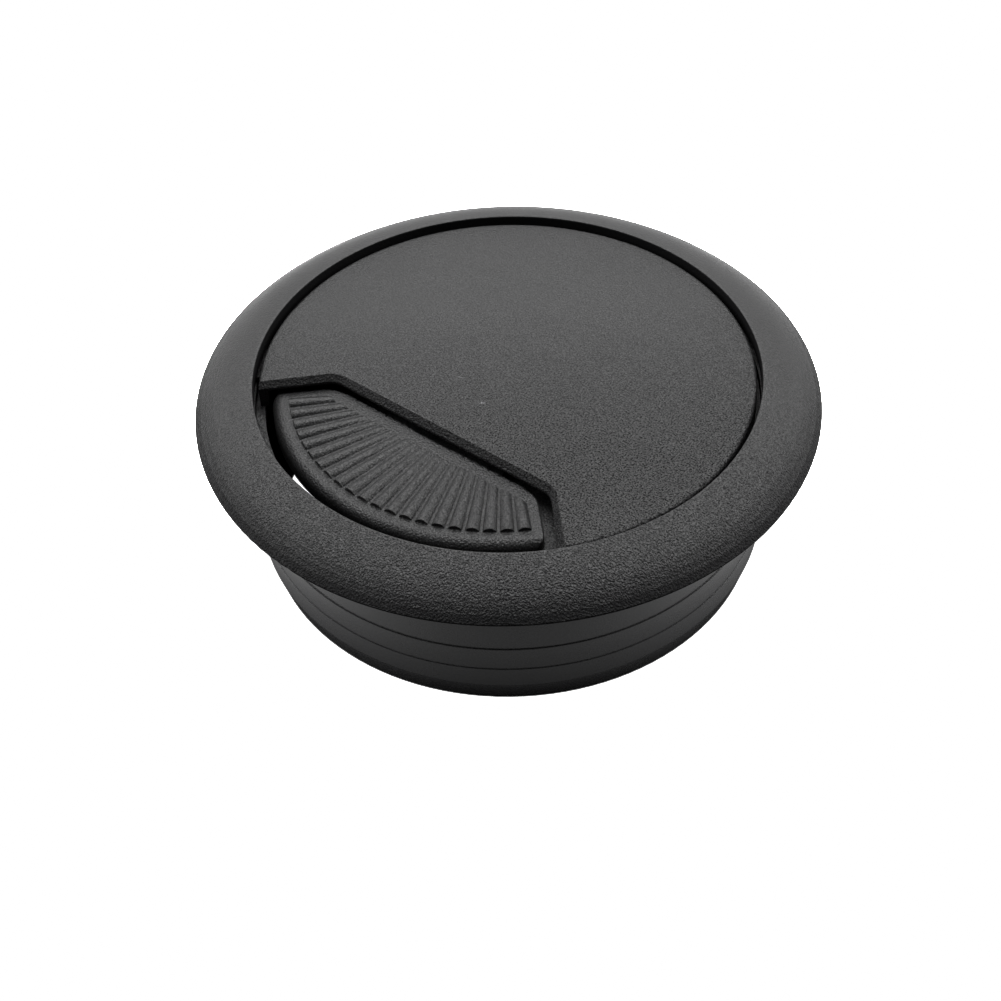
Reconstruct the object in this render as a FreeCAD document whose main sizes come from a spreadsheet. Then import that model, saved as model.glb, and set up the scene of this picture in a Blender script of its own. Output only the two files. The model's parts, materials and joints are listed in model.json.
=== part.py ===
import FreeCAD, Part
import Sketcher
import math
import os

# Desk cable grommet in three moulded pieces: a flanged liner, a snap-in round cover with an
# outlet cut-out, and a ribbed shutter that swings under the cover.
# Frame: millimetres, +Z up, origin on the barrel's axis at its open bottom end, outlet towards -Y.

SIZES = {
    # liner: barrel
    "flange_seat_height": (16.0, "bottom of barrel to flange underside"),
    "barrel_radius": (24.85, "plain barrel below the flange"),
    "barb_radius": (24.95, "crest of the two grip barbs, for a 50 mm hole"),
    "barb_root_radius": (24.87, "barrel just above the lower barb"),
    "barb_land": (1.0, "straight height of the upper barb crest"),
    "upper_barb_height": (7.45, "top step of the upper barb"),
    "lower_barb_height": (4.75, "top step of the lower barb"),
    "lead_in_height": (2.6, "where the barrel starts to narrow towards its end"),
    "tip_radius": (24.2, "outside of the barrel's lead-in end"),
    "bore_radius": (23.5, "inside of the barrel"),
    # liner: flange
    "crest_height": (19.45, "overall height"),
    "crest_radius": (24.45, "where the dome meets the inner wall"),
    "dome_radius": (11.6, "curvature of the flange's top"),
    "lip_radius": (30.0, "outside of the flange"),
    "lip_top_height": (16.35, "where the dome meets the lip"),
    "core_inner_radius": (25.7, "hollow under the dome, inner side"),
    "core_outer_radius": (28.8, "hollow under the dome, outer side"),
    "core_depth": (1.6, "hollow under the dome, at its inner side"),
    "core_edge_width": (0.6, "steep outer end of the hollow, across"),
    "core_edge_depth": (0.5, "steep outer end of the hollow, in height"),
    # liner: seat for the cover
    "rebate_radius": (24.2, "wall around the cover"),
    "ledge_height": (16.2, "ledge that carries the cover"),
    "ledge_radius": (23.3, "inner edge of the ledge"),
    "ledge_thickness": (0.75, "straight part under the ledge"),
    "snap_groove_radius": (24.55, "groove that holds the cover's nibs"),
    "snap_groove_low": (17.15, "bottom of the snap groove"),
    "snap_groove_high": (18.05, "top of the snap groove"),
    # cover
    "cover_top_height": (18.9, "top of the cover"),
    "cover_radius": (23.75, "outside of the cover"),
    "plate_thickness": (0.8, "cover plate"),
    "rim_inner_radius": (22.95, "inside of the cover's rim"),
    "seat_play": (0.05, "running gap between faces that slide on each other"),
    "nib_tip_radius": (24.38, "snap nib's edge"),
    "nib_root": (0.3, "depth to which a nib is rooted in the rim"),
    "nib_margin": (0.1, "nib to the groove's bottom and top"),
    "nib_lead_height": (0.3, "nib's sloping underside"),
    "nib_edge_height": (0.15, "nib's straight edge"),
    "nib_sweep": (10.0, "arc covered by one nib, degrees"),
    "nib_count": (3, "snap nibs around the rim"),
    "cover_edge_round": (0.35, "rounding of the cover's outer edge"),
    # outlet cut-out
    "outlet_chord": (10.1, "axis to the outlet's straight side"),
    "outlet_half_width": (12.9, "half of the straight side"),
    "outlet_flare": (43.5, "short sides from the outlet's centre line, degrees"),
    "outlet_reach": (20.0, "length of the short sides, past the rim"),
    "outlet_corner": (2.0, "corner rounding"),
    "outlet_edge_bevel": (0.55, "bevel of the top edge"),
    # pivot under the cover
    "shoulder_radius": (4.0, "boss shoulder that the shutter's hub bears on"),
    "shoulder_depth": (1.0, "shoulder below the plate"),
    "pivot_radius": (2.5, "split pivot post"),
    "pivot_core_radius": (1.3, "hollow of the pivot post"),
    "pivot_hook_radius": (2.95, "snap hook at the post's end"),
    "pivot_hook_height": (1.0, "straight part of the hook"),
    "pivot_tip_height": (0.4, "tapered end of the hook"),
    "pivot_tip_taper": (0.2, "how far the tapered end runs inside the post's radius"),
    "pivot_slot_width": (0.8, "slots that split the post into four prongs"),
    "pivot_skin": (0.3, "core stops this far below the plate's underside"),
    # shutter
    "hub_thickness": (1.35, "shutter's hub"),
    "hub_radius": (5.0, "outside of the hub"),
    "hub_play": (0.05, "running fit of the hub on the post, radial"),
    "arm_thickness": (1.1, "arm between hub and pad"),
    "arm_hub_half_width": (4.0, "half of the arm's width at the hub"),
    "arm_pad_half_width": (8.0, "half of the arm's width at the pad"),
    "pad_drop": (1.35, "cover top to pad frame"),
    "pad_shift": (0.75, "pad's centre line to the pivot, towards -X"),
    "pad_chord": (10.25, "axis to the pad's straight side"),
    "pad_half_width": (12.25, "half of the pad's straight side"),
    "pad_flare": (45.0, "pad's short sides from its centre line, degrees"),
    "pad_radius": (22.0, "outside of the pad, about its own centre"),
    "pad_corner": (3.0, "rounding of the corners on the straight side"),
    "pad_rim_corner": (1.1, "rounding of the corners on the outer edge"),
    "pad_rim_round": (1.0, "rounding of the pad's outer edge"),
    "pad_edge_round": (0.2, "rounding of the pad's other top edges"),
    "skirt_width": (2.0, "flange around the pad, under the cover"),
    "skirt_inset": (0.3, "skirt inside the pad's outer edge"),
    "skirt_thickness": (0.5, "flange around the pad"),
    # ribs on the pad
    "ribs_each_side": (11, "ribs from the centre line to one side, centre rib included"),
    "rib_sweep": (44.3, "centre rib to last rib, degrees"),
    "rib_outer": (20.35, "pad's centre to the ribs' outer ends"),
    "rib_inner": (10.6, "pad's centre to the point where the ribs rise"),
    "rib_margin": (1.5, "plain strip along the pad's straight side"),
    "rib_width": (1.3, "rib width at its outer end"),
    "rib_height": (0.43, "rib height at its outer end"),
    "rib_start_width": (0.68, "rib width at its inner end"),
    "rib_start_height": (0.05, "rib height at its inner end"),
    "rib_root": (0.2, "depth to which a rib is rooted in the pad"),
    # small roundings
    "crest_round": (0.15, "inner crest of the flange"),
    "lip_round": (0.33, "bottom edge of the lip"),
    "tip_round": (0.25, "ends of the barrel"),
}

doc = FreeCAD.newDocument("desk_grommet")
sheet = doc.addObject("Spreadsheet::Sheet", "Sizes")


def fill_sheet():
    """Writes one row per driving dimension: alias, value, meaning."""
    for row, (alias, (value, meaning)) in enumerate(SIZES.items(), start=1):
        sheet.set(f"A{row}", alias)
        sheet.set(f"B{row}", str(value))
        sheet.setAlias(f"B{row}", alias)
        sheet.set(f"C{row}", meaning)
    doc.recompute()


def bound(expression):
    """Adds the sheet's name to every alias in an expression."""
    words = expression.split(" ")
    return " ".join(f"Sizes.{word}" if word in SIZES else word for word in words)


def value_of(expression):
    """Current value of an expression on the sheet."""
    return float(sheet.evalExpression(bound(expression)))


def origin_feature(body, role):
    """The body's own origin plane or axis with this role."""
    return next(item for item in body.Origin.OriginFeatures if item.Role == role)


def new_body(name):
    body = doc.addObject("PartDesign::Body", name)
    body.Label = name
    body.Placement = FreeCAD.Placement()
    return body


def new_sketch(body, name, role, offset="0", across="0"):
    """Sketch on an origin plane, moved along the plane's normal and along X by expressions."""
    sketch = body.newObject("Sketcher::SketchObject", name)
    sketch.AttachmentSupport = [(origin_feature(body, role), "")]
    sketch.MapMode = "FlatFace"
    sketch.setExpression("AttachmentOffset.Base.z", bound(offset))
    sketch.setExpression("AttachmentOffset.Base.x", bound(across))
    doc.recompute()
    return sketch


def bind_point(sketch, geometry, corner, across, along):
    """Fixes one geometry end at two coordinates given as expressions."""
    for kind, expression in (("DistanceX", across), ("DistanceY", along)):
        index = sketch.addConstraint(
            Sketcher.Constraint(kind, -1, 1, geometry, corner, value_of(expression)))
        sketch.setExpression(f"Constraints[{index}]", bound(expression))


def bind_size(sketch, kind, geometry, expression, in_degrees=False):
    """Fixes a radius or a line's angle to an expression."""
    start = value_of(expression)
    index = sketch.addConstraint(
        Sketcher.Constraint(kind, geometry, math.radians(start) if in_degrees else start))
    sketch.setExpression(f"Constraints[{index}]", bound(expression))


def arc_through(start, end, radius):
    """Counter-clockwise arc of less than half a turn from start to end."""
    chord = end - start
    middle = (start + end) * 0.5
    outward = FreeCAD.Vector(chord.y, -chord.x, 0).normalize()
    sagitta = radius - (radius ** 2 - (chord.Length / 2) ** 2) ** 0.5
    return Part.Arc(start, middle + outward * sagitta, end)


def closed_outline(sketch, corners, arcs=None):
    """Closed outline through corners given as expressions.

    arcs maps the number of an edge that is a counter-clockwise arc to its radius.
    """
    arcs = arcs or {}
    points = [FreeCAD.Vector(value_of(across), value_of(along), 0) for across, along in corners]
    for number, start in enumerate(points):
        end = points[(number + 1) % len(points)]
        if number in arcs:
            sketch.addGeometry(arc_through(start, end, value_of(arcs[number])))
        else:
            sketch.addGeometry(Part.LineSegment(start, end))
    for number in range(len(points)):
        sketch.addConstraint(
            Sketcher.Constraint("Coincident", number, 2, (number + 1) % len(points), 1))
    for number, (across, along) in enumerate(corners):
        bind_point(sketch, number, 1, across, along)
    for number, radius in arcs.items():
        bind_size(sketch, "Radius", number, radius)
    doc.recompute()


def circle_outline(sketch, radius):
    """Circle on the sketch's origin."""
    sketch.addGeometry(Part.Circle(FreeCAD.Vector(), FreeCAD.Vector(0, 0, 1), value_of(radius)))
    sketch.addConstraint(Sketcher.Constraint("Coincident", 0, 3, -1, 1))
    bind_size(sketch, "Radius", 0, radius)
    doc.recompute()


def revolve(body, name, sketch, angle="360", kind="PartDesign::Revolution"):
    """Turns a sketch about its vertical axis, centred on the sketch's plane."""
    feature = body.newObject(kind, name)
    feature.Profile = sketch
    feature.ReferenceAxis = (sketch, ["V_Axis"])
    feature.Midplane = True
    feature.setExpression("Angle", bound(angle))
    doc.recompute()
    return feature


def groove(body, name, sketch):
    """Cuts a turned sketch out of the body and checks that material went."""
    before = body.Shape.Volume
    feature = revolve(body, name, sketch, kind="PartDesign::Groove")
    if body.Shape.Volume >= before:
        raise RuntimeError(f"{name} cuts nothing")
    return feature


def pad(body, name, sketch, length):
    feature = body.newObject("PartDesign::Pad", name)
    feature.Profile = sketch
    feature.setExpression("Length", bound(length))
    doc.recompute()
    return feature


def pocket(body, name, sketch, length, upward=False, both_ways=False):
    """Cuts a sketch out of the body and checks that material went."""
    before = body.Shape.Volume
    feature = body.newObject("PartDesign::Pocket", name)
    feature.Profile = sketch
    feature.Reversed = upward
    feature.Midplane = both_ways
    feature.setExpression("Length", bound(length))
    doc.recompute()
    if body.Shape.Volume >= before:
        raise RuntimeError(f"{name} cuts nothing")
    return feature


def polar_pattern(body, name, original, axis, angle, count, reverse=False):
    """Repeats a feature about an axis; the pattern becomes the tip."""
    feature = body.newObject("PartDesign::PolarPattern", name)
    feature.Originals = [original]
    feature.Axis = axis
    feature.Reversed = reverse
    feature.setExpression("Angle", bound(angle))
    feature.setExpression("Occurrences", bound(count))
    body.Tip = feature
    doc.recompute()
    return feature


def edges_where(feature, wanted):
    """Names of the feature's edges for which wanted(edge) is true."""
    return [f"Edge{n}" for n, edge in enumerate(feature.Shape.Edges, start=1) if wanted(edge)]


def dress_edges(body, kind, name, base, wanted, prop, size):
    """Adds a feature of this kind on the base feature's wanted edges."""
    names = edges_where(base, wanted)
    if not names:
        raise RuntimeError(f"{name} finds no edge")
    feature = body.newObject(kind, name)
    feature.Base = (base, names)
    feature.setExpression(prop, bound(size))
    doc.recompute()
    return feature


def round_edges(body, name, base, wanted, radius):
    return dress_edges(body, "PartDesign::Fillet", name, base, wanted, "Radius", radius)


def near(first, second):
    return abs(first - second) < 1e-3


def is_ring(radius, height, across="0"):
    """Test for a level circular edge with this radius, height and centre along X."""
    def test(edge):
        curve = edge.Curve
        if not isinstance(curve, Part.Circle):
            return False
        sizes = (curve.Radius, curve.Center.x, curve.Center.y, curve.Center.z)
        return all(near(*pair) for pair in zip(sizes, map(value_of, (radius, across, "0", height))))
    return test


def is_upright(edge):
    """Test for a straight edge along Z."""
    box = edge.BoundBox
    return near(box.XLength, 0) and near(box.YLength, 0)


def is_level_at(height):
    """Test for an edge that lies wholly at this height."""
    return lambda edge: near(edge.BoundBox.ZMin, value_of(height)) and near(edge.BoundBox.ZLength, 0)


def build_liner():
    """Flange and barrel in one turned piece."""
    body = new_body("liner")
    profile = new_sketch(body, "liner_profile", "XZ_Plane")
    closed_outline(profile, [
        ("bore_radius", "0"),
        ("tip_radius", "0"),
        ("barb_radius", "lead_in_height"),
        ("barb_radius", "lower_barb_height"),
        ("barb_root_radius", "lower_barb_height"),
        ("barb_radius", "upper_barb_height - barb_land"),
        ("barb_radius", "upper_barb_height"),
        ("barrel_radius", "upper_barb_height"),
        ("barrel_radius", "flange_seat_height"),
        ("core_inner_radius", "flange_seat_height"),
        ("core_inner_radius", "flange_seat_height + core_depth"),
        ("core_outer_radius - core_edge_width", "flange_seat_height + core_edge_depth"),
        ("core_outer_radius", "flange_seat_height"),
        ("lip_radius", "flange_seat_height"),
        ("lip_radius", "lip_top_height"),
        ("crest_radius", "crest_height"),
        ("rebate_radius", "crest_height"),
        ("rebate_radius", "snap_groove_high"),
        ("snap_groove_radius", "snap_groove_high"),
        ("snap_groove_radius", "snap_groove_low"),
        ("rebate_radius", "snap_groove_low"),
        ("rebate_radius", "ledge_height"),
        ("ledge_radius", "ledge_height"),
        ("ledge_radius", "ledge_height - ledge_thickness"),
        ("bore_radius", "ledge_height - 2 * ledge_thickness"),
    ], arcs={14: "dome_radius"})
    turned = revolve(body, "liner_turned", profile)
    crest = round_edges(body, "crest_rounding", turned, is_ring("rebate_radius", "crest_height"),
                        "crest_round")
    lip = round_edges(body, "lip_rounding", crest, is_ring("lip_radius", "flange_seat_height"), "lip_round")
    round_edges(body, "tip_rounding", lip, is_ring("tip_radius", "0"), "tip_round")
    return body


PLATE_UNDERSIDE = "cover_top_height - plate_thickness"
SHOULDER_HEIGHT = PLATE_UNDERSIDE + " - shoulder_depth"
HOOK_TOP = SHOULDER_HEIGHT + " - hub_thickness - 2 * seat_play"
HOOK_FOOT = HOOK_TOP + " - pivot_hook_height"
POST_TIP = HOOK_FOOT + " - pivot_tip_height"


def build_cover():
    """Round plate with a rim, an outlet cut-out, snap nibs and a split pivot post."""
    body = new_body("cover")
    profile = new_sketch(body, "cover_profile", "XZ_Plane")
    closed_outline(profile, [
        ("0", PLATE_UNDERSIDE + " - pivot_skin"),
        ("pivot_core_radius", PLATE_UNDERSIDE + " - pivot_skin"),
        ("pivot_core_radius", POST_TIP),
        ("pivot_radius - pivot_tip_taper", POST_TIP),
        ("pivot_hook_radius", HOOK_FOOT),
        ("pivot_hook_radius", HOOK_TOP),
        ("pivot_radius", HOOK_TOP),
        ("pivot_radius", SHOULDER_HEIGHT),
        ("shoulder_radius", SHOULDER_HEIGHT),
        ("shoulder_radius", PLATE_UNDERSIDE),
        ("rim_inner_radius", PLATE_UNDERSIDE),
        ("rim_inner_radius", "ledge_height + seat_play"),
        ("cover_radius", "ledge_height + seat_play"),
        ("cover_radius", "cover_top_height"),
        ("0", "cover_top_height"),
    ])
    revolve(body, "cover_turned", profile)

    nib_foot = "snap_groove_low + nib_margin"
    nib_head = "snap_groove_high - nib_margin"
    nib_profile = new_sketch(body, "nib_profile", "YZ_Plane")
    closed_outline(nib_profile, [
        ("cover_radius - nib_root", nib_foot),
        ("cover_radius", nib_foot),
        ("nib_tip_radius", nib_foot + " + nib_lead_height"),
        ("nib_tip_radius", nib_foot + " + nib_lead_height + nib_edge_height"),
        ("cover_radius", nib_head),
        ("cover_radius - nib_root", nib_head),
    ])
    nib = revolve(body, "snap_nib", nib_profile, "nib_sweep")
    polar_pattern(body, "snap_nibs", nib, (origin_feature(body, "Z_Axis"), [""]), "360", "nib_count")

    outlet = new_sketch(body, "outlet_outline", "XY_Plane", "cover_top_height")
    far_side = "outlet_half_width + outlet_reach * sin( outlet_flare )"
    far_end = "-1 * outlet_chord - outlet_reach * cos( outlet_flare )"
    closed_outline(outlet, [
        ("-1 * outlet_half_width", "-1 * outlet_chord"),
        ("-1 * ( " + far_side + " )", far_end),
        (far_side, far_end),
        ("outlet_half_width", "-1 * outlet_chord"),
    ])
    opened = pocket(body, "outlet", outlet, "cover_top_height - ledge_height")
    cornered = round_edges(
        body, "outlet_corners", opened,
        lambda edge: is_upright(edge) and near(edge.BoundBox.YMin, value_of("-1 * outlet_chord")),
        "outlet_corner")
    bevelled = dress_edges(
        body, "PartDesign::Chamfer", "outlet_edge_bevelling", cornered,
        lambda edge: is_level_at("cover_top_height")(edge) and edge.BoundBox.YMax < 0,
        "Size", "outlet_edge_bevel")
    round_edges(body, "cover_edge_rounding", bevelled, is_ring("cover_radius", "cover_top_height"),
                "cover_edge_round")

    for name, role in (("slot_across", "XZ_Plane"), ("slot_along", "YZ_Plane")):
        slot = new_sketch(body, name + "_outline", role)
        closed_outline(slot, [
            ("-0.5 * pivot_slot_width", POST_TIP + " - pivot_tip_height"),
            ("0.5 * pivot_slot_width", POST_TIP + " - pivot_tip_height"),
            ("0.5 * pivot_slot_width", SHOULDER_HEIGHT),
            ("-0.5 * pivot_slot_width", SHOULDER_HEIGHT),
        ])
        pocket(body, name, slot, "4 * pivot_radius", both_ways=True)
    return body


FRAME_TOP = "cover_top_height - pad_drop"
SHUTTER_BASE = HOOK_TOP + " + seat_play"
PAD_CENTRE = "-1 * pad_shift"


def fan_outline(sketch, chord, half_width, radius):
    """Fan with a straight inner side, two flared sides and an arc about the sketch's origin."""
    corner = FreeCAD.Vector(value_of(half_width), -value_of(chord), 0)
    arc_middle = FreeCAD.Vector(0, -value_of(radius), 0)
    arc_end = FreeCAD.Rotation(FreeCAD.Vector(0, 0, 1), value_of("pad_flare")).multVec(arc_middle)
    other_corner = FreeCAD.Vector(-corner.x, corner.y, 0)
    arc_start = FreeCAD.Vector(-arc_end.x, arc_end.y, 0)
    sketch.addGeometry(Part.LineSegment(other_corner, arc_start))
    sketch.addGeometry(Part.Arc(arc_start, arc_middle, arc_end))
    sketch.addGeometry(Part.LineSegment(arc_end, corner))
    sketch.addGeometry(Part.LineSegment(corner, other_corner))
    for number in range(4):
        sketch.addConstraint(Sketcher.Constraint("Coincident", number, 2, (number + 1) % 4, 1))
    sketch.addConstraint(Sketcher.Constraint("Coincident", 1, 3, -1, 1))
    sketch.addConstraint(Sketcher.Constraint("Symmetric", 3, 1, 3, 2, -2))
    bind_point(sketch, 3, 1, half_width, "-1 * ( " + chord + " )")
    bind_size(sketch, "Radius", 1, radius)
    bind_size(sketch, "Angle", 0, "-1 deg * ( 90 + pad_flare )", in_degrees=True)
    bind_size(sketch, "Angle", 2, "1 deg * ( 90 + pad_flare )", in_degrees=True)
    doc.recompute()


def rib_section(sketch, width, height):
    """Rounded rib section with its root below the pad's frame."""
    half = "0.5 * " + width
    foot = FRAME_TOP + " - rib_root"
    closed_outline(sketch, [
        ("-1 * " + half, foot),
        (half, foot),
        (half, FRAME_TOP),
        ("-1 * " + half, FRAME_TOP),
    ], arcs={2: f"( 0.25 * {width} ^ 2 + {height} ^ 2 ) / ( 2 * {height} )"})


def add_ribs(body, outline):
    """Fan of ribs that rise outwards, trimmed along the pad's straight side."""
    start = new_sketch(body, "rib_start", "XZ_Plane", "rib_inner", PAD_CENTRE)
    rib_section(start, "rib_start_width", "rib_start_height")
    end = new_sketch(body, "rib_end", "XZ_Plane", "rib_outer", PAD_CENTRE)
    rib_section(end, "rib_width", "rib_height")
    rib = body.newObject("PartDesign::AdditiveLoft", "rib")
    rib.Profile = start
    rib.Sections = [end]
    rib.Ruled = True
    doc.recompute()
    for side, reverse in (("ribs_one_side", False), ("ribs_other_side", True)):
        polar_pattern(body, side, rib, (outline, ["N_Axis"]), "rib_sweep", "ribs_each_side", reverse)

    trims = (("rib_margin", "pad_chord + rib_margin", FRAME_TOP),
             ("rib_overrun", "pad_chord", FRAME_TOP + " - rib_root"))
    for name, reach, height in trims:
        trim = new_sketch(body, name + "_outline", "XY_Plane", height)
        closed_outline(trim, [
            ("-1 * pad_radius", "-1 * ( " + reach + " )"),
            ("pad_radius", "-1 * ( " + reach + " )"),
            ("pad_radius", "-1 * hub_radius"),
            ("-1 * pad_radius", "-1 * hub_radius"),
        ])
        pocket(body, name, trim, "2 * rib_height", upward=True)


def build_shutter():
    """Hub, arm and ribbed pad in one piece."""
    body = new_body("shutter")
    outline = new_sketch(body, "pad_outline", "XY_Plane", SHUTTER_BASE, PAD_CENTRE)
    fan_outline(outline, "pad_chord", "pad_half_width", "pad_radius")
    block = pad(body, "pad", outline, FRAME_TOP + " - ( " + SHUTTER_BASE + " )")
    corners = round_edges(
        body, "pad_corners", block,
        lambda edge: is_upright(edge) and near(edge.BoundBox.YMin, value_of("-1 * pad_chord")),
        "pad_corner")
    rim_corners = round_edges(
        body, "pad_rim_corners", corners,
        lambda edge: is_upright(edge) and edge.BoundBox.YMin < value_of("-1 * pad_half_width"),
        "pad_rim_corner")
    round_edges(
        body, "pad_edge_rounding", rim_corners,
        lambda edge: is_level_at(FRAME_TOP)(edge) and near(edge.BoundBox.YMin, value_of("-1 * pad_chord")),
        "pad_edge_round")
    rim = new_sketch(body, "pad_rim_outline", "XZ_Plane", across=PAD_CENTRE)
    closed_outline(rim, [
        ("pad_radius", FRAME_TOP + " - pad_rim_round"),
        ("pad_radius - pad_rim_round", FRAME_TOP),
        ("pad_radius + pad_rim_round", FRAME_TOP),
        ("pad_radius + pad_rim_round", FRAME_TOP + " - pad_rim_round"),
    ], arcs={0: "pad_rim_round"})
    groove(body, "pad_rim_rounding", rim)

    skirt = new_sketch(body, "skirt_outline", "XY_Plane", SHUTTER_BASE, PAD_CENTRE)
    skirt_half_width = "pad_half_width + skirt_width * ( 1 / cos( pad_flare ) - tan( pad_flare ) )"
    fan_outline(skirt, "pad_chord - skirt_width", skirt_half_width, "pad_radius - skirt_inset")
    pad(body, "skirt", skirt, "skirt_thickness")

    arm = new_sketch(body, "arm_outline", "XY_Plane", SHUTTER_BASE)
    closed_outline(arm, [
        ("-1 * arm_hub_half_width", "0"),
        ("-1 * arm_pad_half_width", "-1 * pad_chord - pad_corner"),
        ("arm_pad_half_width", "-1 * pad_chord - pad_corner"),
        ("arm_hub_half_width", "0"),
    ])
    pad(body, "arm", arm, "arm_thickness")

    hub = new_sketch(body, "hub_outline", "XY_Plane", SHUTTER_BASE)
    circle_outline(hub, "hub_radius")
    pad(body, "hub", hub, "hub_thickness")
    bore = new_sketch(body, "hub_bore_outline", "XY_Plane", SHUTTER_BASE)
    circle_outline(bore, "pivot_radius + hub_play")
    pocket(body, "hub_bore", bore, "2 * hub_thickness", upward=True)
    add_ribs(body, outline)
    return body


def check_document(bodies):
    """Stops if any object failed or any sub-part isn't one sound solid."""
    for item in doc.Objects:
        if "Invalid" in item.State or "Error" in item.State:
            raise RuntimeError(f"{item.Label}: {item.State}")
    for body in bodies:
        shape = body.Shape
        if shape.isNull() or not shape.isValid() or len(shape.Solids) != 1:
            raise RuntimeError(f"{body.Label} isn't one sound solid")


fill_sheet()
bodies = [build_liner(), build_cover(), build_shutter()]
doc.recompute()
check_document(bodies)
os.makedirs("parts", exist_ok=True)
for body in bodies:
    body.Shape.exportStep(f"parts/{body.Label}.step")
    print(body.Label, round(body.Shape.Volume, 1), body.Shape.BoundBox)
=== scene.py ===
import bpy
import json
import math
from mathutils import Matrix, Vector

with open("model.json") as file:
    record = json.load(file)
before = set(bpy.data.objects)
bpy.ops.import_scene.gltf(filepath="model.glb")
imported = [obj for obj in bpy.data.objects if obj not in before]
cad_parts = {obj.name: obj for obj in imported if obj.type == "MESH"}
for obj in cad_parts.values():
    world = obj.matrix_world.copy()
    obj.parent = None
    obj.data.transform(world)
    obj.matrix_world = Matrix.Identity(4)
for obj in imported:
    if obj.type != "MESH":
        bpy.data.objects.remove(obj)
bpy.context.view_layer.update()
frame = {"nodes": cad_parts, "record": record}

MM = 0.001

# Camera and lights are placed in the view's own axes: X to the right, Y away from the camera, Z up.
# The outlet is turned away from the camera by VIEW_AZIMUTH about +Z. Angles are in degrees.
VIEW_AZIMUTH = 39.4
CAMERA_BACK = 151.7 * MM
CAMERA_RISE = 150.1 * MM
CAMERA_ROLL = -1.99
CAMERA_CLIP = 10 * MM
AIM_SIDE = -1.058 * MM
AIM_HEIGHT = 2.098 * MM
# Focal length and sensor width are in millimetres, as Blender takes them.
LENS = 75.52
SENSOR = 36

VIEW_TURN = Matrix.Rotation(math.radians(VIEW_AZIMUTH), 4, "Z")
AWAY = VIEW_TURN @ Vector((0, 1, 0))

# Landmarks of the liner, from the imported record.
MOUNTS = {mount["name"]: mount for mount in frame["record"]["mounts"]}
SEAT_HEIGHT = MOUNTS["desk_seat"]["pos_m"][2]
BARREL_RADIUS = MOUNTS["barrel"]["dims"]["r_mm"] * MM

# Tones stay as they are up to STRAIGHT_TO and are white from WHITE_FROM. Blender's fourth curve
# is the one for all colours together.
STRAIGHT_TO = 0.3
WHITE_FROM = 0.5
COMBINED_CURVE = 3

# The world is dark where a direction's part away from the camera is WORLD_DARK_TO or less, and at
# full strength where it is WORLD_FULL_FROM or more.
WHITE = (1, 1, 1, 1)
WORLD_STRENGTH = 1.15
WORLD_DARK_TO = -0.7
WORLD_FULL_FROM = 0.2

# Round lamps: place in the view's axes, diameter, both in metres, and power in watts.
SOFTBOXES = {
    "top_softbox": ((0.0, 0.2, 0.55), 0.6, 3),
    "left_softbox": ((-0.7, 0.15, 0.25), 0.4, 1.5),
    "right_softbox": ((0.7, 0.15, 0.25), 0.4, 1.5),
}

FLOOR_SIZE = 8
FLOOR_ROUGHNESS = 0.9
PALE_ALBEDO = 0.8
PALE_GLOW = 0.5
BOUNCE_ALBEDO = 0.05
BOUNCE_GLOW = 2.8
# The bounce sheet's glow grows from the camera's side of the object to its middle.
GLOW_STARTS = -46 * MM
GLOW_FULL = 0.0
# It grows outward from the barrel too, and fades again further out to a share of its strength.
RING_FULL = 1.6 * BARREL_RADIUS
FADE_STARTS = 1.8 * BARREL_RADIUS
FADE_ENDS = 4 * BARREL_RADIUS
FADED_SHARE = 0.2

# Each noise has its cells per metre and its number of finer layers.
WOBBLE_NOISE = (2600.0, 2.0)
FINE_NOISE = (6500.0, 3.0)
WAVE_NOISE = (160.0, 2.0)
PATCH_NOISE = (420.0, 4.0)
CLOUD_NOISE = (55.0, 3.0)

# Pebble grain: rounded cells about 0.2 mm across, bent by the wobble, broken up by the fine noise.
CELL_SCALE = 5200.0
CELL_SMOOTHNESS = 0.35
CELL_BEND = 0.35 * MM
NOISE_MIDDLE = (0.5, 0.5, 0.5)
FINE_SHARE = 0.9

# The grain is worn shallow from WORN_FROM to WORN_TO, towards the far side.
WORN_FROM = -14 * MM
WORN_TO = 10 * MM
WORN_DEPTH = 0.25

# The barrel, below the seat, has little grain left and is glossier; its colour is painted paler, a
# painted reflection of the bright floor.
SMOOTH_BAND = 0.1 * MM
SMOOTH_DEPTH = 0.12
SMOOTH_GLOSS = 0.14
SMOOTH_PAINTED_LIGHT = 2.4

# Moulded surfaces are never quite flat: slow waviness a few millimetres long.
WAVE_HEIGHT = 0.02 * MM
SOFT_EDGE_RADIUS = 0.12 * MM
SOFT_EDGE_SAMPLES = 4

# An edge is rubbed where the softened normal leaves the surface's own: cosines between the two.
WEAR_STARTS = 0.995
WEAR_FULL = 0.85
WEAR_GLOSS = 0.3

# Colour, its plain share, and what each pattern adds to that share.
BLACK = (0.012, 0.012, 0.0124)
PLAIN_SHADE = 0.72
CLOUD_SHADE = 0.35
FINE_SHADE = 0.24
STROKE_SHADE = 9.0

# What each pattern adds to the roughness, and what is taken off so that its mean stays as asked.
CLOUD_ROUGHNESS = 0.16
PATCH_ROUGHNESS = 0.08
ROUGHNESS_OFFSET = 0.11

# Pits shine less than the grain's tops: between PIT_FLOOR and PIT_TOP, the fine noise moves the
# shine from PIT_SHINE below its middle to as much above it, times the material's speckle.
PLASTIC_IOR = 1.46
MIDDLE_SHINE = 0.5
PIT_FLOOR = 0.35
PIT_TOP = 0.65
PIT_SHINE = 0.5

# A stroke is full up to this share of its half width, and fades from there to its edge.
STROKE_CORE = 0.4

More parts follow.
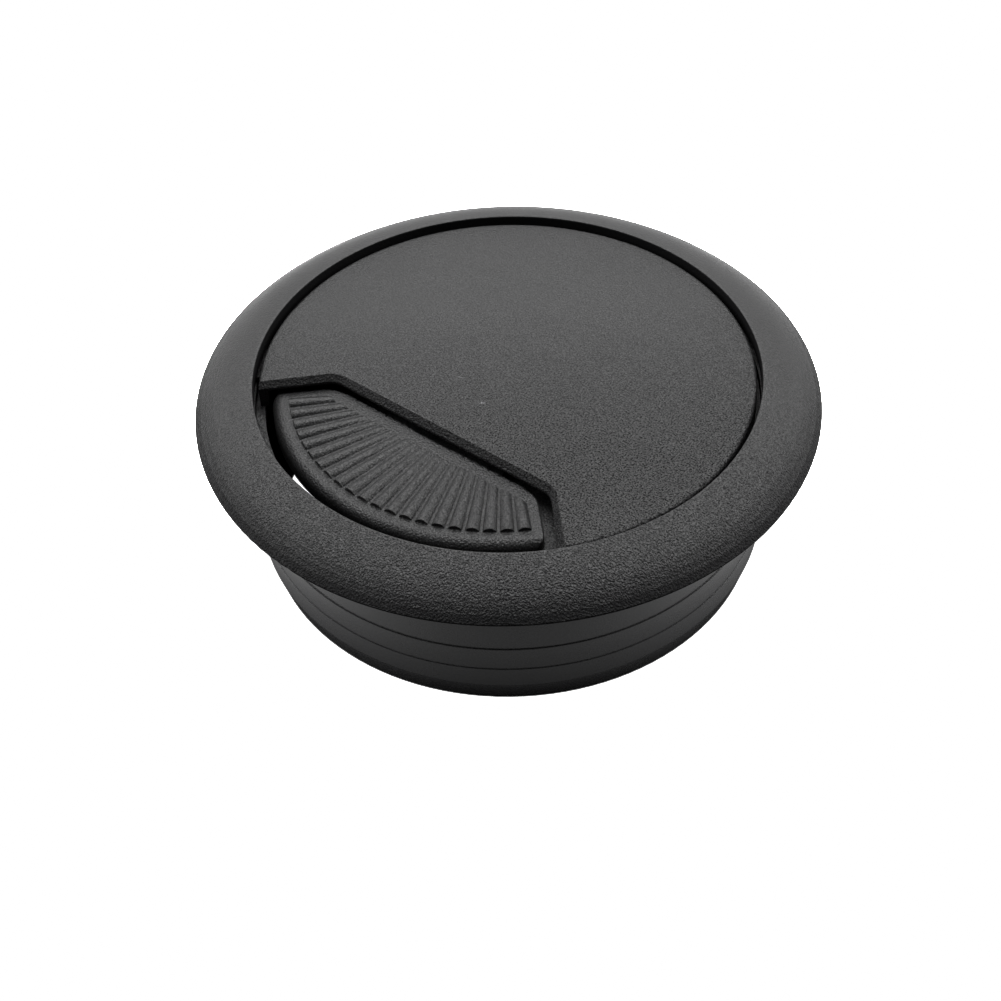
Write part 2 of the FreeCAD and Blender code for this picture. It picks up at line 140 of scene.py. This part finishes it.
# The scratch on the cover, and the small star left where the plastic was let into the mould:
# each stroke's middle across and along, its turn, its length and its width.
COVER_STROKES = (
    (-3.34 * MM, -3.03 * MM, 15, 0.7 * MM, 0.1 * MM),
    (0.67 * MM, -4.68 * MM, 60, 0.8 * MM, 0.1 * MM),
    (0.72 * MM, -4.62 * MM, 5, 0.6 * MM, 0.1 * MM),
    (0.62 * MM, -4.72 * MM, 120, 0.5 * MM, 0.08 * MM),
)


def in_view_axes(right, away, up):
    """World place of a point given in the view's axes."""
    return VIEW_TURN @ Vector((right, away, up))


def set_tone_curve():
    """Keeps dark and middle tones as they are and lifts the pale floor to white."""
    view = bpy.context.scene.view_settings
    view.view_transform = "Standard"
    view.use_curve_mapping = True
    curve = view.curve_mapping.curves[COMBINED_CURVE]
    for across, up in ((STRAIGHT_TO, STRAIGHT_TO), (WHITE_FROM, 1.0)):
        curve.points.new(across, up).handle_type = "VECTOR"
    view.curve_mapping.update()


def add_camera():
    """Camera at the photograph's angle, aimed near the foot of the barrel and rolled a little."""
    eye = in_view_axes(0, -CAMERA_BACK, CAMERA_RISE)
    aim = in_view_axes(AIM_SIDE, 0, AIM_HEIGHT)
    facing = (aim - eye).to_track_quat("-Z", "Y").to_matrix().to_4x4()
    camera = bpy.data.objects.new("camera", bpy.data.cameras.new("camera"))
    camera.data.lens = LENS
    camera.data.sensor_width = SENSOR
    camera.data.clip_start = CAMERA_CLIP
    camera.matrix_world = (
        Matrix.Translation(eye) @ facing @ Matrix.Rotation(math.radians(CAMERA_ROLL), 4, "Z"))
    bpy.context.collection.objects.link(camera)
    bpy.context.scene.camera = camera


def softbox(name, place, size, power):
    """Round area light aimed at the object, placed in the view's axes."""
    lamp = bpy.data.lights.new(name, "AREA")
    lamp.shape = "DISK"
    lamp.size = size
    lamp.energy = power
    holder = bpy.data.objects.new(name, lamp)
    holder.location = in_view_axes(*place)
    holder.rotation_euler = (-holder.location).to_track_quat("-Z", "Y").to_euler()
    bpy.context.collection.objects.link(holder)


def add_node(tree, kind, inputs=None, **settings):
    """Adds a shader node; an input is given as a value or as another node's output."""
    node = tree.nodes.new(kind)
    for name, value in settings.items():
        setattr(node, name, value)
    for name, value in (inputs or {}).items():
        if isinstance(value, bpy.types.NodeSocket):
            tree.links.new(value, node.inputs[name])
        else:
            node.inputs[name].default_value = value
    return node


def calculate(tree, operation, *values):
    """Output of a Math node."""
    return add_node(tree, "ShaderNodeMath", dict(enumerate(values)), operation=operation).outputs[0]


def combine(tree, operation, *vectors):
    """Vector that a Vector Math node gives."""
    return add_node(
        tree, "ShaderNodeVectorMath", dict(enumerate(vectors)), operation=operation).outputs["Vector"]


def scaled(tree, vector, factor):
    """A vector made longer or shorter."""
    return add_node(
        tree, "ShaderNodeVectorMath", {0: vector, "Scale": factor}, operation="SCALE").outputs["Vector"]


def measure(tree, operation, *vectors):
    """Number that a Vector Math node gives, such as a length or a dot product."""
    return add_node(
        tree, "ShaderNodeVectorMath", dict(enumerate(vectors)), operation=operation).outputs["Value"]


def height_of(tree, vector):
    """The part of a vector along Z."""
    return add_node(tree, "ShaderNodeSeparateXYZ", {0: vector}).outputs["Z"]


def ramp(tree, value, start, end, low=0.0, high=1.0):
    """Goes from low to high while value goes from start to end, and stays there."""
    return add_node(tree, "ShaderNodeMapRange", {
        "Value": value, "From Min": start, "From Max": end, "To Min": low, "To Max": high,
    }).outputs["Result"]


def noise(tree, place, scale, detail):
    """Noise texture node."""
    return add_node(tree, "ShaderNodeTexNoise", {"Vector": place, "Scale": scale, "Detail": detail})


def bump(tree, height, distance, normal):
    """A normal tilted by the slopes of height."""
    return add_node(tree, "ShaderNodeBump", {
        "Height": height, "Distance": distance, "Normal": normal}).outputs["Normal"]


def add_world():
    """White studio, dark behind the camera, bright overhead and behind the object."""
    world = bpy.data.worlds.new("studio")
    world.use_nodes = True
    tree = world.node_tree
    direction = add_node(tree, "ShaderNodeTexCoord").outputs["Generated"]
    backness = measure(tree, "DOT_PRODUCT", direction, AWAY)
    strength = ramp(tree, backness, WORLD_DARK_TO, WORLD_FULL_FROM, 0.0, WORLD_STRENGTH)
    background = tree.nodes["Background"]
    tree.links.new(strength, background.inputs["Strength"])
    background.inputs["Color"].default_value = WHITE
    bpy.context.scene.world = world


def floor_sheet(name, albedo):
    """Level sheet under the object, its node tree and the socket of its glow."""
    bpy.ops.mesh.primitive_plane_add(size=FLOOR_SIZE)
    floor = bpy.context.object
    floor.name = name
    material = bpy.data.materials.new(name)
    material.use_nodes = True
    shader = material.node_tree.nodes["Principled BSDF"]
    shader.inputs["Base Color"].default_value = (albedo, albedo, albedo, 1)
    shader.inputs["Roughness"].default_value = FLOOR_ROUGHNESS
    shader.inputs["Emission Color"].default_value = WHITE
    floor.data.materials.append(material)
    return floor, material.node_tree, shader.inputs["Emission Strength"]


def add_pale_floor():
    """White sheet that only the camera sees."""
    pale, _, glow = floor_sheet("floor_pale", PALE_ALBEDO)
    glow.default_value = PALE_GLOW
    pale.visible_diffuse = False
    pale.visible_glossy = False
    pale.visible_shadow = False


def add_bounce_floor():
    """Unseen sheet in the white one's place, which lights the object.

    It gives more light from behind the object than from in front of it, and most of it in a ring
    a little outside the barrel.
    """
    bounce, tree, glow = floor_sheet("floor_bounce", BOUNCE_ALBEDO)
    bounce.visible_camera = False
    place = add_node(tree, "ShaderNodeTexCoord").outputs["Object"]
    away = measure(tree, "DOT_PRODUCT", place, AWAY)
    radius = measure(tree, "LENGTH", place)
    strength = ramp(tree, away, GLOW_STARTS, GLOW_FULL, 0.0, BOUNCE_GLOW)
    openness = ramp(tree, radius, BARREL_RADIUS, RING_FULL)
    falloff = ramp(tree, radius, FADE_STARTS, FADE_ENDS, 1.0, FADED_SHARE)
    ring = calculate(tree, "MULTIPLY", openness, falloff)
    tree.links.new(calculate(tree, "MULTIPLY", strength, ring), glow)


def pebble_grain(tree, place, fine):
    """Height of the spark-eroded grain, before its depth."""
    wobble = noise(tree, place, *WOBBLE_NOISE).outputs["Color"]
    bend = scaled(tree, combine(tree, "SUBTRACT", wobble, NOISE_MIDDLE), CELL_BEND)
    cells = add_node(tree, "ShaderNodeTexVoronoi", {
        "Vector": combine(tree, "ADD", place, bend), "Scale": CELL_SCALE,
        "Smoothness": CELL_SMOOTHNESS}, feature="SMOOTH_F1").outputs["Distance"]
    return calculate(tree, "MULTIPLY_ADD", fine, FINE_SHARE, calculate(tree, "MULTIPLY", cells, -1.0))


def grain_left(tree, place, grain_above):
    """Share of the grain above and below the height where it stops."""
    if grain_above is None:
        return 1.0
    return ramp(tree, height_of(tree, place), grain_above - SMOOTH_BAND, grain_above + SMOOTH_BAND,
                SMOOTH_DEPTH, 1.0)


def edge_wear(tree, soft_edge, patches):
    """Patchy mask of the rubbed edges."""
    normal = add_node(tree, "ShaderNodeNewGeometry").outputs["Normal"]
    cosine = measure(tree, "DOT_PRODUCT", soft_edge, normal)
    return calculate(tree, "MULTIPLY", ramp(tree, cosine, WEAR_STARTS, WEAR_FULL), patches)


def stroke_mask(tree, place, across, along, turn, length, width):
    """Mask of one short level stroke: its middle, its turn in degrees, its length and its width."""
    turned = Matrix.Rotation(math.radians(turn), 4, "Z")
    from_middle = combine(tree, "SUBTRACT", place, Vector((across, along, 0)))
    shares = []
    for direction, size in (((1, 0, 0), length), ((0, 1, 0), width)):
        offset = measure(tree, "DOT_PRODUCT", from_middle, turned @ Vector(direction))
        half_size = size / 2
        shares.append(calculate(tree, "DIVIDE", calculate(tree, "ABSOLUTE", offset), half_size))
    return ramp(tree, calculate(tree, "MAXIMUM", *shares), 1.0, STROKE_CORE)


def add_up(tree, start, patterns):
    """A start value with each pattern, times its share, added to it."""
    total = start
    for pattern, share in patterns:
        total = calculate(tree, "MULTIPLY_ADD", pattern, share, total)
    return total


def paint_steep_shade(tree, shine, smooth, dullest, shiny, least):
    """Takes the shine off steep faces: painted shade, which makes walls and edge roundings read dark.

    darkest and shiny are the normal's heights at which a face is darkest and fully shiny, and
    least is the least share of shine. The smooth part keeps its shine.
    """
    normal = add_node(tree, "ShaderNodeNewGeometry").outputs["True Normal"]
    share = ramp(tree, height_of(tree, normal), dullest, shiny, least, 1.0)
    return calculate(tree, "MULTIPLY", shine, calculate(tree, "MAXIMUM", share, smooth))


def plastic(name, roughness, grain_depth, speckle, wear, grain_above=None, strokes=(), steep_shade=None):
    """Black moulded plastic with spark-eroded grain, uneven gloss and rubbed edges.

    grain_depth is in metres; where grain_above is given, the surface below that height is smooth and
    painted paler, which is painted light.
    speckle and wear are strengths. strokes are pale moulding marks and scratches, as taken by
    stroke_mask. steep_shade, the painted shade on steep faces, is what paint_steep_shade takes.
    """
    material = bpy.data.materials.new(name)
    material.use_nodes = True
    tree = material.node_tree
    shader = tree.nodes["Principled BSDF"]
    place = add_node(tree, "ShaderNodeTexCoord").outputs["Object"]
    fine = noise(tree, place, *FINE_NOISE).outputs["Fac"]
    waves = noise(tree, place, *WAVE_NOISE).outputs["Fac"]
    patches = noise(tree, place, *PATCH_NOISE).outputs["Fac"]
    clouds = noise(tree, place, *CLOUD_NOISE).outputs["Fac"]
    soft_edge = add_node(tree, "ShaderNodeBevel", {"Radius": SOFT_EDGE_RADIUS},
                         samples=SOFT_EDGE_SAMPLES).outputs["Normal"]

    left = grain_left(tree, place, grain_above)
    smooth = calculate(tree, "SUBTRACT", 1.0, left)
    away = measure(tree, "DOT_PRODUCT", place, AWAY)
    depth = calculate(tree, "MULTIPLY", ramp(tree, away, WORN_FROM, WORN_TO, 1.0, WORN_DEPTH), left)
    grain = calculate(tree, "MULTIPLY", pebble_grain(tree, place, fine), depth)
    wavy = bump(tree, waves, WAVE_HEIGHT, soft_edge)
    tree.links.new(bump(tree, grain, grain_depth, wavy), shader.inputs["Normal"])

    rubbed = edge_wear(tree, soft_edge, patches)
    marks = [(stroke_mask(tree, place, *stroke), STROKE_SHADE) for stroke in strokes]
    # The smooth share's paleness is painted light: the barrel is painted paler in place of the floor's
    # reflection.
    shade = add_up(tree, PLAIN_SHADE, [
        (clouds, CLOUD_SHADE), (smooth, SMOOTH_PAINTED_LIGHT), (fine, FINE_SHADE), (rubbed, wear), *marks])
    tree.links.new(scaled(tree, BLACK, shade), shader.inputs["Base Color"])

    rough = add_up(tree, roughness - ROUGHNESS_OFFSET, [
        (clouds, CLOUD_ROUGHNESS), (patches, PATCH_ROUGHNESS), (rubbed, -WEAR_GLOSS * wear),
        (smooth, -SMOOTH_GLOSS)])
    tree.links.new(rough, shader.inputs["Roughness"])
    shader.inputs["IOR"].default_value = PLASTIC_IOR

    pits = ramp(tree, fine, PIT_FLOOR, PIT_TOP, -PIT_SHINE, PIT_SHINE)
    pits = calculate(tree, "MULTIPLY", pits, depth)
    shine = calculate(tree, "MULTIPLY_ADD", pits, speckle, MIDDLE_SHINE)
    # Steep faces lose their shine here: painted shade.
    if steep_shade is not None:
        shine = paint_steep_shade(tree, shine, smooth, **steep_shade)
    tree.links.new(shine, shader.inputs["Specular IOR Level"])
    return material


def paint(node, material):
    """Gives a CAD node one material."""
    slots = frame["nodes"][node].data.materials
    slots.clear()
    slots.append(material)


set_tone_curve()
add_camera()
add_world()
add_pale_floor()
add_bounce_floor()
for name, (place, size, power) in SOFTBOXES.items():
    softbox(name, place, size, power)

paint("liner", plastic(
    "liner_black", roughness=0.36, grain_depth=0.10 * MM, speckle=0.7, wear=0.5,
    grain_above=SEAT_HEIGHT, steep_shade={"dullest": 0.7, "shiny": 0.87, "least": 0.0}))
paint("cover", plastic(
    "cover_black", roughness=0.45, grain_depth=0.16 * MM, speckle=1.2, wear=0.5,
    strokes=COVER_STROKES, steep_shade={"dullest": 0.75, "shiny": 0.97, "least": 0.4}))
paint("shutter", plastic(
    "shutter_black", roughness=0.42, grain_depth=0.06 * MM, speckle=0.6, wear=0.1))
